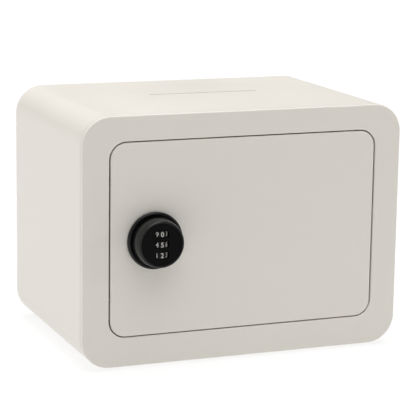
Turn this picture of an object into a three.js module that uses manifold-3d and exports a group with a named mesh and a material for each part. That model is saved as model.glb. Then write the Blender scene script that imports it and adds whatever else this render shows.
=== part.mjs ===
// Small insulated home safe with a knob that carries three number wheels, a door hung on hidden
// pins and a deposit slot in its top. Millimetres, +Z up. X runs to the right, Y into the safe.
// The origin is the middle of the overall box, on the surface that the feet stand on.
import * as THREE from 'three';
import { mergeVertices } from 'three/addons/utils/BufferGeometryUtils.js';
import Module from 'manifold-3d';

const wasm = await Module();
wasm.setup();

// ---- Driving dimensions -------------------------------------------------------------------

const WIDTH = 350;
const HEIGHT = 257; // of the body, without its feet
const DEPTH = 243; // from the front of the frame to the back panel
const CORNER_R = 30;
const REAR_ROUND = 10; // where the shell rolls over to the back panel
const FOOT_HEIGHT = 3;

const SHEET = 2; // outer shell, back panel and jamb
const LINER_SHEET = 1.2;
const FRAME_THICK = 3;
const FRAME_ROUND = 2.4;
const FIT = 0.3; // clearance between neighbouring pieces

const SIDE_BORDER = 28.5; // width of the frame beside the door opening
const TOP_BORDER = 26.1;
const BOTTOM_BORDER = 30.4;
const OPENING_R = 18;
const DOOR_GAP = 1.5;
const JAMB_DEPTH = 34;

const DOOR_THICK = 3; // face plate
const DOOR_ROUND = 1.2;
const PAN_INSET = 6; // door pan, in from the face plate's edge
const PAN_SHEET = 1.5;
const PAN_BACK = 30; // how far behind the front plane the pan ends

const LINER_BACK = 217; // inner face of the compartment's rear wall
const SLOT = { x: 5, depth: 132.5, length: 123.5, width: 5.5 };
const ANCHOR = { x: 75, baseDepth: 130, backHeight: 180, radius: 5 };

const HINGE_X = 119.5; // pin axis
const HINGE_DEPTH = 9;
const PIN_R = 3;
const KNUCKLE_R = 4.6;

const KNOB_X = -98.8;
const LOCK_DROP = 1.3; // the knob's axis is this far below the middle of the door
const KNOB_PROUD = 23.7; // the number wheels' rims stand this far in front of the door
const KNOB_R = 25.3;
const ROSE_R = 29.3;
const WHEEL_R = 8.75;
const WHEEL_PITCH = 10.7;

const BOLT_SPREAD = 60; // each locking bolt, above or below the middle of the door
const BOLT_DEPTH = 18;
const BOLT_R = 7;
const CAM_R = 11; // throw radius of the drive pin
const THROW_ANGLE = Math.PI / 2; // turn of the knob from open to locked

// ---- Dimensions that follow ---------------------------------------------------------------

const OPENING_W = WIDTH - 2 * SIDE_BORDER;
const OPENING_H = HEIGHT - TOP_BORDER - BOTTOM_BORDER;
const BODY_Z = FOOT_HEIGHT + HEIGHT / 2;
const DOOR_Z = FOOT_HEIGHT + BOTTOM_BORDER + OPENING_H / 2;
const LOCK_Z = DOOR_Z - LOCK_DROP;
const DOOR_W = OPENING_W - 2 * DOOR_GAP;
const DOOR_H = OPENING_H - 2 * DOOR_GAP;
const DOOR_R = OPENING_R - DOOR_GAP;
const PAN_W = DOOR_W - 2 * PAN_INSET;
const PAN_H = DOOR_H - 2 * PAN_INSET;
const PAN_R = DOOR_R - PAN_INSET;
const PAN_TOP = PAN_H / 2;
const JAMB_TOP = OPENING_H / 2 + SHEET;
const FRONT_Y = KNOB_PROUD - (DEPTH + KNOB_PROUD) / 2;
const THROW = 2 * CAM_R * Math.sin(THROW_ANGLE / 2);
const CAM_REST = CAM_R * Math.sin(THROW_ANGLE / 2); // the pin's offset, to the side and up

// ---- Materials ----------------------------------------------------------------------------

const material = (color, roughness, metalness) =>
  new THREE.MeshStandardMaterial({ color, roughness, metalness });

const PAINT = material(0xe9e5dc, 0.55, 0.0);
const LINER_PAINT = material(0xd9d6cf, 0.6, 0.0);
const ZINC = material(0xb4b7b8, 0.4, 0.9);
const BRIGHT_STEEL = material(0xc9cacb, 0.25, 1.0);
const SPRING_STEEL = material(0x8d9094, 0.35, 0.9);
const BLACK_PLASTIC = material(0x17181a, 0.35, 0.0);
const WHEEL_PLASTIC = material(0x101113, 0.4, 0.0);
const NYLON = material(0xe8e4d4, 0.5, 0.0);
const RUBBER = material(0x1c1c1d, 0.8, 0.0);
const SEAL_GRAPHITE = material(0x3b3b3d, 0.85, 0.0);
const BOARD = material(0xcfc8b8, 0.95, 0.0);
const FELT = material(0x2f3236, 1.0, 0.0);

// ---- Solids: helpers ----------------------------------------------------------------------

function toManifold(geometry) {
  const bare = geometry.clone();
  bare.deleteAttribute('normal');
  bare.deleteAttribute('uv');
  const merged = mergeVertices(bare, 1e-4);
  const mesh = new wasm.Mesh({
    numProp: 3,
    vertProperties: new Float32Array(merged.attributes.position.array),
    triVerts: new Uint32Array(merged.index.array),
  });
  return new wasm.Manifold(mesh);
}

function toGeometry(manifold) {
  const mesh = manifold.getMesh();
  const geometry = new THREE.BufferGeometry();
  geometry.setAttribute('position', new THREE.BufferAttribute(mesh.vertProperties, 3));
  geometry.setIndex(new THREE.BufferAttribute(mesh.triVerts, 1));
  return geometry;
}

function combine(operation, first, others) {
  let result = toManifold(first);
  for (const other of others) {
    result = result[operation](toManifold(other));
  }
  return toGeometry(result);
}

const cut = (body, ...tools) => combine('subtract', body, tools);
const join = (body, ...others) => combine('add', body, others);
const common = (body, ...others) => combine('intersect', body, others);

// Upright rectangle with round corners, as an outline in X and Z.
function outline(width, height, radius, z = 0) {
  const right = width / 2 - radius;
  const top = height / 2 - radius;
  const shape = new THREE.Shape();
  const centres = [[right, top], [-right, top], [-right, -top], [right, -top]];
  centres.forEach(([cx, cz], quarter) => {
    const start = quarter * Math.PI / 2;
    shape.absarc(cx, z + cz, radius, start, start + Math.PI / 2, false);
  });
  return shape;
}

// Slot with round ends between two centres.
function stadium(x0, z0, x1, z1, radius) {
  const heading = Math.atan2(z1 - z0, x1 - x0);
  const shape = new THREE.Shape();
  shape.absarc(x1, z1, radius, heading - Math.PI / 2, heading + Math.PI / 2, false);
  shape.absarc(x0, z0, radius, heading + Math.PI / 2, heading + 3 * Math.PI / 2, false);
  return shape;
}

// An X-Z outline given thickness along Y, from one depth to another.
function plate(shape, from, to, arcSteps = 3) {
  const geometry = new THREE.ExtrudeGeometry(shape, {
    depth: to - from, bevelEnabled: false, curveSegments: arcSteps,
  });
  return geometry.rotateX(Math.PI / 2).translate(0, to, 0);
}

// The same with both its edges rounded over. It is longer than asked by the round at each end.
function bevelledPlate(shape, from, to, round) {
  const geometry = new THREE.ExtrudeGeometry(shape, {
    depth: to - from, bevelThickness: round, bevelSize: round, bevelOffset: -round,
    bevelSegments: 3, curveSegments: 3,
  });
  return geometry.rotateX(Math.PI / 2).translate(0, to, 0);
}

const slab = (from, to) => box(-WIDTH, WIDTH, from, to, -HEIGHT, 2 * HEIGHT);

// A plate with only its front edge rounded, and one with only its rear edge rounded.
const roundedPlate = (shape, from, to, round) =>
  cut(bevelledPlate(shape, from + round, to + round, round), slab(to, to + 3 * round));

const rearRoundedPlate = (shape, from, to, round) =>
  cut(bevelledPlate(shape, from - round, to - round, round), slab(from - 3 * round, from));

function box(x0, x1, y0, y1, z0, z1) {
  const geometry = new THREE.BoxGeometry(x1 - x0, y1 - y0, z1 - z0);
  return geometry.translate((x0 + x1) / 2, (y0 + y1) / 2, (z0 + z1) / 2);
}

const ROD_SIDES = 16;
const KNOB_SIDES = 36;
const WHEEL_SIDES = 20;

function rodX(radius, x0, x1, y, z) {
  const rod = new THREE.CylinderGeometry(radius, radius, x1 - x0, ROD_SIDES);
  return rod.rotateZ(-Math.PI / 2).translate((x0 + x1) / 2, y, z);
}

function rodY(radius, x, y0, y1, z, sides = ROD_SIDES) {
  const rod = new THREE.CylinderGeometry(radius, radius, y1 - y0, sides);
  return rod.translate(x, (y0 + y1) / 2, z);
}

function rodZ(radius, x, y, z0, z1) {
  const rod = new THREE.CylinderGeometry(radius, radius, z1 - z0, ROD_SIDES);
  return rod.rotateX(Math.PI / 2).translate(x, y, (z0 + z1) / 2);
}

// Lathe about Y, from a profile of [radius, y] that runs from low to high y on its outside.
function turned(profile, sides = ROD_SIDES) {
  const points = profile.map(([radius, y]) => new THREE.Vector2(radius, y));
  const geometry = new THREE.LatheGeometry(points, sides);
  geometry.deleteAttribute('normal');
  geometry.deleteAttribute('uv');
  return mergeVertices(geometry, 1e-4);
}

// The same about Z and about X, and with its profile's heights facing the front.
const turnedZ = (profile, sides) => turned(profile, sides).rotateX(Math.PI / 2);
const turnedX = (profile, sides) => turned(profile, sides).rotateZ(-Math.PI / 2);
const turnedFront = (profile, sides) => turned(profile, sides).rotateX(Math.PI);

// A ring's profile closes on itself; a solid's starts and ends on the axis.
const ring = (points) => [...points, points[0]];

function part(name, geometry, look, x = 0, y = 0, z = 0) {
  const mesh = new THREE.Mesh(geometry, look);
  mesh.name = name;
  mesh.position.set(x, y, z);
  return mesh;
}

// ---- Cabinet: group at the front plane, heights from the ground ---------------------------

const bodyOutline = (inset) =>
  outline(WIDTH - 2 * inset, HEIGHT - 2 * inset, CORNER_R - inset, BODY_Z);

const openingOutline = (grow) =>
  outline(OPENING_W + 2 * grow, OPENING_H + 2 * grow, OPENING_R + grow, DOOR_Z);

// Upright passage for deposits, as wide as the slot in every sheet it goes through.
function slotPassage(z0, z1, grow = 0) {
  const along = SLOT.length / 2 + grow;
  const across = SLOT.width / 2 + grow;
  return box(SLOT.x - along, SLOT.x + along, SLOT.depth - across, SLOT.depth + across, z0, z1);
}

const anchorSides = [-ANCHOR.x, ANCHOR.x];

const baseAnchorHoles = (radius, z1) =>
  anchorSides.map((x) => rodZ(radius, x, ANCHOR.baseDepth, 0, z1));

const backAnchorHoles = (radius, y0) =>
  anchorSides.map((x) => rodY(radius, x, y0, DEPTH + SHEET, ANCHOR.backHeight));

// Sheet wrapped round the sides, top and base and rolled over at the back, where it is open.
function outerShell() {
  const outside = rearRoundedPlate(bodyOutline(0), FRAME_THICK + FIT, DEPTH, REAR_ROUND);
  const inside = rearRoundedPlate(bodyOutline(SHEET), 0, DEPTH - SHEET, REAR_ROUND - SHEET);
  const rear = plate(bodyOutline(REAR_ROUND), DEPTH - 2 * SHEET, DEPTH + SHEET);
  const top = FOOT_HEIGHT + HEIGHT;
  const slot = slotPassage(top - 2 * SHEET, top + SHEET);
  return cut(outside, inside, rear, slot, ...baseAnchorHoles(ANCHOR.radius, FOOT_HEIGHT + 2 * SHEET));
}

function frontFrame() {
  const face = roundedPlate(bodyOutline(0), 0, FRAME_THICK, FRAME_ROUND);
  const jamb = plate(openingOutline(SHEET), 1, JAMB_DEPTH);
  const doorway = plate(openingOutline(0), -1, JAMB_DEPTH + 1);
  const jambX = -OPENING_W / 2;
  const boltHoles = [-1, 1].map((side) =>
    rodX(BOLT_R + 1, jambX - 2 * SHEET, jambX + SHEET, BOLT_DEPTH, LOCK_Z + side * BOLT_SPREAD));
  const reach = JAMB_TOP + 1;
  const pinHoles = rodZ(PIN_R + FIT, HINGE_X, HINGE_DEPTH, DOOR_Z - reach, DOOR_Z + reach);
  return cut(join(face, jamb), doorway, ...boltHoles, pinHoles);
}

function backPanel() {
  const sheet = plate(bodyOutline(REAR_ROUND + FIT), DEPTH - SHEET, DEPTH);
  return cut(sheet, ...backAnchorHoles(ANCHOR.radius, DEPTH - 2 * SHEET));
}

function innerLiner() {
  const end = LINER_BACK + LINER_SHEET;
  const outside = plate(openingOutline(LINER_SHEET), JAMB_DEPTH + FIT, end);
  const inside = plate(openingOutline(0), JAMB_DEPTH - 1, LINER_BACK);
  const openingTop = DOOR_Z + OPENING_H / 2;
  const slot = slotPassage(openingTop - 1, openingTop + 2);
  const floorHoles = baseAnchorHoles(ANCHOR.radius, DOOR_Z);
  const rearHoles = backAnchorHoles(ANCHOR.radius, LINER_BACK - 1);
  return cut(outside, inside, slot, ...floorHoles, ...rearHoles);
}

const BOARD_BACK = LINER_BACK + LINER_SHEET + FIT; // where the back board starts
const PLUG_POCKET_R = 8.5;
const CHUTE_WALL = 2;
const BRACKET = { halfWidth: 10.5, depth: 17, thick: 6 };

// Insulation round the jamb and the liner, before it is divided into boards.
function insulationRing() {
  const whole = plate(bodyOutline(SHEET + FIT), FRAME_THICK + FIT, BOARD_BACK - FIT);
  const jambRoom = plate(openingOutline(SHEET + FIT), 0, JAMB_DEPTH + FIT);
  const linerRoom = plate(openingOutline(LINER_SHEET + FIT), JAMB_DEPTH, DEPTH);
  return cut(whole, jambRoom, linerRoom);
}

// Room for a hinge bracket and its pin's head above or below the jamb.
function bracketPocket(side) {
  const room = 1;
  const reach = BRACKET.thick + FIT + 3;
  const z = [JAMB_TOP - 1, JAMB_TOP + reach].map((far) => DOOR_Z + side * far).sort((a, b) => a - b);
  const x0 = HINGE_X - BRACKET.halfWidth - room;
  const x1 = HINGE_X + BRACKET.halfWidth + room;
  return box(x0, x1, FRAME_THICK - 1, BRACKET.depth + 2 * room, z[0], z[1]);
}

function insulationBoards() {
  const whole = insulationRing();
  const level = JAMB_TOP + 1; // where the flat boards meet the side boards
  const inner = OPENING_W / 2 - OPENING_R / 2; // side boards fill the corners out to here
  const edge = WIDTH;
  const above = box(-edge, edge, 0, DEPTH, DOOR_Z + level, HEIGHT + edge);
  const below = box(-edge, edge, 0, DEPTH, -edge, DOOR_Z - level);
  const middleLow = DOOR_Z - level + FIT;
  const middleHigh = DOOR_Z + level - FIT;
  const leftward = box(-edge, -inner, 0, DEPTH, middleLow, middleHigh);
  const rightward = box(inner, edge, 0, DEPTH, middleLow, middleHigh);
  const boltPockets = [-1, 1].map((side) =>
    rodX(BOLT_R + 1.5, -WIDTH / 2 + 10, -OPENING_W / 2, BOLT_DEPTH, LOCK_Z + side * BOLT_SPREAD));
  const chutePassage = slotPassage(DOOR_Z, FOOT_HEIGHT + HEIGHT, CHUTE_WALL + FIT);
  const basePockets = baseAnchorHoles(PLUG_POCKET_R, DOOR_Z);
  const back = plate(bodyOutline(REAR_ROUND), BOARD_BACK, DEPTH - SHEET - FIT);
  return {
    insulation_top: cut(common(whole, above), chutePassage, bracketPocket(1)),
    insulation_base: cut(common(whole, below), bracketPocket(-1), ...basePockets),
    insulation_left: cut(common(whole, leftward), ...boltPockets),
    insulation_right: common(whole, rightward),
    insulation_back: cut(back, ...backAnchorHoles(PLUG_POCKET_R, LINER_BACK)),
  };
}

function depositChute() {
  const low = DOOR_Z + OPENING_H / 2 + LINER_SHEET + FIT;
  const high = FOOT_HEIGHT + HEIGHT - SHEET - FIT;
  return cut(slotPassage(low, high, CHUTE_WALL), slotPassage(low - 1, high + 1));
}

const BAFFLE_OVERLAP = 6; // past each end of the slot

// Bent sheet under the slot: a flange on the ceiling, a drop and a sloping lip. Its profile is in
// depth and height below the ceiling, and it runs the length of the slot.
function depositBaffle() {
  const sheet = LINER_SHEET;
  const flange = 12;
  const drop = 28;
  const lip = 14;
  const face = SLOT.depth - SLOT.width / 2 - 3;
  const slope = Math.tan(Math.PI / 8) * sheet;
  const profile = new THREE.Shape([
    new THREE.Vector2(face - flange, -FIT),
    new THREE.Vector2(face - flange, -FIT - sheet),
    new THREE.Vector2(face - sheet, -FIT - sheet),
    new THREE.Vector2(face - sheet, -drop - slope),
    new THREE.Vector2(face - sheet + lip, -drop - slope - lip),
    new THREE.Vector2(face - slope + lip, -drop - lip + slope),
    new THREE.Vector2(face, -drop),
    new THREE.Vector2(face, -FIT),
  ]);
  const length = SLOT.length + 2 * BAFFLE_OVERLAP;
  const geometry = new THREE.ExtrudeGeometry(profile, { depth: length, bevelEnabled: false });
  const turn = new THREE.Matrix4().set(0, 0, 1, 0, 1, 0, 0, 0, 0, 1, 0, 0, 0, 0, 0, 1);
  return geometry.applyMatrix4(turn); // the profile's axes become Y and Z, and its length X
}

function floorMat() {
  const thick = 2;
  const floor = DOOR_Z - OPENING_H / 2;
  return box(-OPENING_W / 2 + OPENING_R + 1, OPENING_W / 2 - OPENING_R - 1,
    JAMB_DEPTH + 3, LINER_BACK - 2, floor + FIT, floor + FIT + thick);
}

const FOOT = { x: WIDTH / 2 - 38, inset: 30, radius: 10 };

const footSpots = {
  front_left: [-FOOT.x, FOOT.inset], front_right: [FOOT.x, FOOT.inset],
  rear_left: [-FOOT.x, DEPTH - FOOT.inset], rear_right: [FOOT.x, DEPTH - FOOT.inset],
};

const foot = () => turnedZ([[0, 0], [FOOT.radius - 1, 0], [FOOT.radius, 1.2],
  [FOOT.radius, FOOT_HEIGHT - FIT], [0, FOOT_HEIGHT - FIT]]);

// Plug for an anchor hole: heights run inward from the outer face.
const plugProfile = [[0, 0.2], [ANCHOR.radius - FIT, 0.2], [ANCHOR.radius - FIT, SHEET + FIT],
  [PLUG_POCKET_R - 0.5, SHEET + FIT], [PLUG_POCKET_R - 0.5, SHEET + 2], [0, SHEET + 2]];

function hingeBracket(side) {
  const near = side * (JAMB_TOP + FIT);
  const far = near + side * BRACKET.thick;
  const low = Math.min(near, far);
  const high = Math.max(near, far);
  const block = box(HINGE_X - BRACKET.halfWidth, HINGE_X + BRACKET.halfWidth,
    FRAME_THICK + FIT, BRACKET.depth, low, high);
  return cut(block, rodZ(PIN_R + FIT, HINGE_X, HINGE_DEPTH, low - 1, high + 1));
}

// Pin with its head outside the bracket; it reaches into the knuckle in the door pan.
function hingePin(side) {
  const tip = PAN_TOP - 6;
  const headBase = JAMB_TOP + BRACKET.thick + 2 * FIT;
  const profile = [[0, tip], [PIN_R - 0.6, tip], [PIN_R, tip + 0.8], [PIN_R, headBase],
    [PIN_R + 1.5, headBase], [PIN_R + 1.5, headBase + 2], [0, headBase + 2]];
  const pin = turnedZ(profile);
  return side > 0 ? pin : pin.rotateX(Math.PI);
}

function buildCabinet() {
  const cabinet = new THREE.Group();
  cabinet.position.set(0, FRONT_Y, 0);
  cabinet.add(part('outer_shell', outerShell(), PAINT));
  cabinet.add(part('front_frame', frontFrame(), PAINT));
  cabinet.add(part('back_panel', backPanel(), PAINT));
  cabinet.add(part('inner_liner', innerLiner(), LINER_PAINT));
  for (const [name, geometry] of Object.entries(insulationBoards())) {
    cabinet.add(part(name, geometry, BOARD));
  }
  cabinet.add(part('deposit_chute', depositChute(), ZINC));
  const ceiling = DOOR_Z + OPENING_H / 2;
  const baffleX = SLOT.x - SLOT.length / 2 - BAFFLE_OVERLAP;
  cabinet.add(part('deposit_baffle', depositBaffle(), LINER_PAINT, baffleX, 0, ceiling));
  cabinet.add(part('floor_mat', floorMat(), FELT));
  for (const [spot, [x, depth]] of Object.entries(footSpots)) {
    cabinet.add(part(`foot_${spot}`, foot(), RUBBER, x, depth, 0));
  }
  for (const [word, side] of [['left', -1], ['right', 1]]) {
    const x = side * ANCHOR.x;
    const basePlug = turnedZ(plugProfile);
    cabinet.add(part(`anchor_plug_base_${word}`, basePlug, RUBBER, x, ANCHOR.baseDepth, FOOT_HEIGHT));
    const backPlug = turnedFront(plugProfile);
    cabinet.add(part(`anchor_plug_back_${word}`, backPlug, RUBBER, x, DEPTH, ANCHOR.backHeight));
  }
  for (const [word, side] of [['upper', 1], ['lower', -1]]) {
    cabinet.add(part(`hinge_bracket_${word}`, hingeBracket(side), ZINC, 0, 0, DOOR_Z));
    cabinet.add(part(`hinge_pin_${word}`, hingePin(side), BRIGHT_STEEL, HINGE_X, HINGE_DEPTH, DOOR_Z));
  }
  return cabinet;
}

// ---- Door: group at the middle of the doorway, on the front plane -------------------------

const SCREW_OFFSET = 25; // rose screws, above and below the knob's axis
const LOCK_PLATE = { width: 36, height: 62, from: 8, to: 9.5 };
const BOARD_TO = 7.7;
const SPINDLE_R = 4;
const COVER_SCREW = { x: PAN_W / 2 - 5.9, z: PAN_TOP - 5.9, headR: 3.4, shaftR: 1.6 };
const PAN_LEFT = -PAN_W / 2;

const roseScrewHoles = (radius, from, to) =>
  [-1, 1].map((side) => rodY(radius, KNOB_X, from, to, side * SCREW_OFFSET - LOCK_DROP));

const spindleHole = (radius, from, to) => rodY(radius, KNOB_X, from, to, -LOCK_DROP);

const coverScrewSpots = {
  upper_left: [-1, 1], upper_right: [1, 1], lower_left: [-1, -1], lower_right: [1, -1],
};

const coverScrewHoles = () =>
  Object.values(coverScrewSpots).map(([sx, sz]) =>
    rodY(COVER_SCREW.shaftR + FIT, sx * COVER_SCREW.x, PAN_BACK - 5, PAN_BACK + 5,
      sz * COVER_SCREW.z, 12));

function doorFacePlate() {
  const face = roundedPlate(outline(DOOR_W, DOOR_H, DOOR_R), 0, DOOR_THICK, DOOR_ROUND);
  const from = -1;
  const to = DOOR_THICK + 1;
  return cut(face, spindleHole(SPINDLE_R + 0.6, from, to), ...roseScrewHoles(2 + FIT, from, to));
}

function doorPan() {
  const lip = 8;
  const outside = plate(outline(PAN_W, PAN_H, PAN_R), DOOR_THICK + FIT, PAN_BACK);
  const hollow = outline(PAN_W - 2 * PAN_SHEET, PAN_H - 2 * PAN_SHEET, PAN_R - PAN_SHEET);
  const inside = plate(hollow, DOOR_THICK - 1, PAN_BACK - PAN_SHEET);
  const rearOpening = outline(PAN_W - 2 * (PAN_SHEET + lip), PAN_H - 2 * (PAN_SHEET + lip), 4);
  const rear = plate(rearOpening, PAN_BACK - 3 * PAN_SHEET, PAN_BACK + 1);
  const boltHoles = [-1, 1].map((side) =>
    rodX(BOLT_R + 1.9, PAN_LEFT - 2, PAN_LEFT + 3, BOLT_DEPTH, side * BOLT_SPREAD - LOCK_DROP));
  const knuckleHoles = rodZ(KNUCKLE_R + FIT, HINGE_X, HINGE_DEPTH, -PAN_TOP - 2, PAN_TOP + 2);
  return cut(outside, inside, rear, ...boltHoles, knuckleHoles, ...coverScrewHoles());
}

function doorInsulation() {
  const inset = PAN_SHEET + 0.5;
  const shape = outline(PAN_W - 2 * inset, PAN_H - 2 * inset, PAN_R - inset);
  const board = plate(shape, DOOR_THICK + FIT, BOARD_TO);
  const hingeRoom = [-1, 1].map((side) => {
    const z = [side * (PAN_TOP - 9), side * (PAN_TOP + 1)].sort((a, b) => a - b);
    return box(HINGE_X - 6, HINGE_X + 6, 0, 2 * BOARD_TO, z[0], z[1]);
  });
  const passage = spindleHole(SPINDLE_R + 1, 0, 2 * BOARD_TO);
  return cut(board, ...hingeRoom, passage, ...roseScrewHoles(2 + FIT, 0, 2 * BOARD_TO));
}

function doorInnerCover() {
  const shape = outline(PAN_W - 4, PAN_H - 4, PAN_R - 2);
  return cut(plate(shape, PAN_BACK + FIT, PAN_BACK + FIT + LINER_SHEET), ...coverScrewHoles());
}

// Strip round the pan that fills most of the gap to the jamb.
function doorSeal() {
  const shape = outline(OPENING_W - 2.8, OPENING_H - 2.8, OPENING_R - 1.4);
  shape.holes.push(outline(PAN_W + 2 * FIT, PAN_H + 2 * FIT, PAN_R + FIT));
  return plate(shape, PAN_BACK - 4, PAN_BACK);
}

// Flanged bush in the pan's top or bottom wall, turning on the hinge pin.
function hingeKnuckle(side) {
  const bore = PIN_R + 0.35;
  const flange = KNUCKLE_R + 0.8;
  const profile = ring([[bore, PAN_TOP - 7], [KNUCKLE_R, PAN_TOP - 7], [KNUCKLE_R, PAN_TOP + FIT],
    [flange, PAN_TOP + FIT], [flange, PAN_TOP + 5.5], [bore, PAN_TOP + 5.5]]);
  const bush = turnedZ(profile);
  return side > 0 ? bush : bush.rotateX(Math.PI);
}

// Nylon guide for a locking bolt; heights run inward from the pan's outer face.
function boltBush() {
  const bore = BOLT_R + 0.3;
  const wall = PAN_SHEET + FIT;
  return turnedX(ring([[bore, 0], [BOLT_R + 1.6, 0], [BOLT_R + 1.6, wall], [BOLT_R + 3, wall],
    [BOLT_R + 3, wall + 2], [bore, wall + 2]]));
}

function lockPlate() {
  const sheet = plate(outline(LOCK_PLATE.width, LOCK_PLATE.height, 5), LOCK_PLATE.from, LOCK_PLATE.to);
  const past = 2 * LOCK_PLATE.to;
  const screwHoles = [-1, 1].map((side) => rodY(2 + FIT, 0, 0, past, side * SCREW_OFFSET));
  return cut(sheet, rodY(SPINDLE_R + FIT, 0, 0, past, 0), ...screwHoles);
}

const ROSE_BORE = 20.3;

// Fixed ring that the knob turns in, with a rounded rim. Heights run outward from the door.
function knobRose() {
  const round = 1.8;
  const high = 5;
  const rim = [0, 0.25, 0.5, 0.75, 1].map((step) => {
    const turn = step * Math.PI / 2;
    return [ROSE_R - round + round * Math.cos(turn), high - round + round * Math.sin(turn)];
  });
  const profile = ring([[ROSE_BORE, FIT], [ROSE_R - 0.6, FIT], [ROSE_R, 0.9], ...rim,
    [26.4, high - 0.5], [ROSE_BORE, high - 0.5]]);
  const blindHoles = [-1, 1].map((side) => rodY(2 + FIT, 0, -3.4, 1, side * SCREW_OFFSET));
  return cut(turnedFront(profile, KNOB_SIDES), ...blindHoles);
}

const roseScrew = () => turned([[0, -3], [2, -3], [2, LOCK_PLATE.to + FIT], [3.8, LOCK_PLATE.to + FIT],
  [3.8, 11], [3, 12], [0, 12]]);

function coverScrew() {
  const { headR, shaftR } = COVER_SCREW;
  const seat = PAN_BACK + LINER_SHEET + 2 * FIT;
  return turned([[0, PAN_BACK - 4], [shaftR, PAN_BACK - 4], [shaftR, seat], [headR, seat],
    [headR - 0.6, seat + 1.2], [headR - 2, seat + 1.8], [0, seat + 1.8]], 12);
}

function buildDoor() {
  const door = new THREE.Group();
  door.position.set(0, FRONT_Y, DOOR_Z);
  door.add(part('door_face_plate', doorFacePlate(), PAINT));
  door.add(part('door_pan', doorPan(), PAINT));
  door.add(part('door_insulation', doorInsulation(), BOARD));
  door.add(part('door_inner_cover', doorInnerCover(), LINER_PAINT));
  door.add(part('door_seal', doorSeal(), SEAL_GRAPHITE));
  door.add(part('lock_plate', lockPlate(), ZINC, KNOB_X, 0, -LOCK_DROP));
  door.add(part('knob_rose', knobRose(), BLACK_PLASTIC, KNOB_X, 0, -LOCK_DROP));
  for (const [word, side] of [['upper', 1], ['lower', -1]]) {
    door.add(part(`hinge_knuckle_${word}`, hingeKnuckle(side), ZINC, HINGE_X, HINGE_DEPTH));
    const boltZ = side * BOLT_SPREAD - LOCK_DROP;
    const screwZ = side * SCREW_OFFSET - LOCK_DROP;
    door.add(part(`bolt_bush_${word}`, boltBush(), NYLON, PAN_LEFT, BOLT_DEPTH, boltZ));
    door.add(part(`rose_screw_${word}`, roseScrew(), ZINC, KNOB_X, 0, screwZ));
  }
  for (const [spot, [sx, sz]] of Object.entries(coverScrewSpots)) {
    const screw = coverScrew();
    door.add(part(`cover_screw_${spot}`, screw, ZINC, sx * COVER_SCREW.x, 0, sz * COVER_SCREW.z));
  }
  return door;
}

// ---- Lock: group on the knob's axis, at the front plane; negative y is in front -----------

const CAVITY_R = 18.2;
const CAVITY_FLOOR = 5.4; // height in front of the door
const AXLE_R = 1.5;
const AXLE_HEIGHT = 15;
const FACE_R = 21.5;
const FACE_TOP = 23;
const FACE_THICK = 1.7;
const SHOULDER = 10; // where the spindle steps down behind the lock plate
const SPINDLE_END_R = 3;
const CAM = { from: 10.3, to: 13.8, pinR: 2, pinTo: 18 };
const BAR = {
  from: 14.8, to: 17.3, left: -20.3, armRight: -7, right: 24, halfPlate: 18, halfHeight: 68,
};
const RIVET = { x: -13, radius: 2 };

function knobBody() {
  const spindleBore = SPINDLE_R + FIT;
  const ledge = FACE_TOP - FACE_THICK - FIT;
  const profile = ring([[spindleBore, 0.6], [19.8, 0.6], [19.8, 5.7], [23.4, 5.7], [24.4, 7.2],
    [KNOB_R - 0.3, 12], [KNOB_R, 17], [KNOB_R - 0.2, 19], [KNOB_R - 0.9, 20.8], [KNOB_R - 2.1, 22.2],
    [FACE_R + 1, 22.9], [FACE_R + FIT, 22.9], [FACE_R + FIT, ledge], [CAVITY_R, ledge],
    [CAVITY_R, CAVITY_FLOOR], [spindleBore, CAVITY_FLOOR]]);
  return cut(turnedFront(profile, KNOB_SIDES), rodZ(AXLE_R + FIT, 0, -AXLE_HEIGHT, -21, 21));
}

const wheelLevels = { upper: WHEEL_PITCH, middle: 0, lower: -WHEEL_PITCH };

// Disc with one window for each number wheel.
function knobFace() {
  const back = FACE_TOP - FACE_THICK;
  const disc = turnedFront([[0, back], [FACE_R, back], [FACE_R, FACE_TOP - 0.3],
    [FACE_R - 0.3, FACE_TOP], [0, FACE_TOP]], KNOB_SIDES);
  const windows = Object.values(wheelLevels).map((z) =>
    plate(outline(14.4, 7.2, 1.2, z), -FACE_TOP - 1, 1 - back, 2));
  return cut(disc, ...windows);
}

// Wheel on an upright axle, with a hub that spaces it from the next.
function numberWheel() {
  const rim = 3.2; // half the height of the rim, and of the hub
  const hub = 5.1;
  return turnedZ(ring([[AXLE_R + FIT, -hub], [3.6, -hub], [3.6, -rim], [WHEEL_R - 0.5, -rim],
    [WHEEL_R, 0.5 - rim], [WHEEL_R, rim - 0.5], [WHEEL_R - 0.5, rim], [3.6, rim], [3.6, hub],
    [AXLE_R + FIT, hub]]), WHEEL_SIDES);
}

// Leaf that presses on the three wheels from the side.
const detentSpring = () => box(WHEEL_R + 0.35, WHEEL_R + 0.85, -19, -9, -13.5, 13.5);

// Spindle from the knob's hub to its nut, with a shoulder behind the lock plate.
const spindle = () => turned([[0, -5.1], [SPINDLE_R, -5.1], [SPINDLE_R, SHOULDER],
  [SPINDLE_END_R, SHOULDER], [SPINDLE_END_R, 25], [SPINDLE_END_R - 0.6, 25.6], [0, 25.6]]);

// Arm with a pin that drives the bolt bar; at rest it points up and to the right.
function driveCam() {
  const arm = stadium(0, 0, CAM_REST, CAM_REST, 4.2);
  const hub = rodY(7, 0, CAM.from, CAM.to, 0);
  const pin = rodY(CAM.pinR, CAM_REST, CAM.from + 1, CAM.pinTo, CAM_REST);
  const bore = rodY(SPINDLE_END_R + FIT, 0, CAM.from - 1, CAM.to + 1, 0);
  return cut(join(plate(arm, CAM.from, CAM.to), hub, pin), bore);
}

const washer = () => turned(ring([[SPINDLE_END_R + FIT, 18.4], [7, 18.4], [7, 19.4],
  [SPINDLE_END_R + FIT, 19.4]]));

const nut = () => cut(rodY(5.8, 0, 19.7, 24, 0, 6), rodY(SPINDLE_END_R + FIT, 0, 19, 25, 0));

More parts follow.
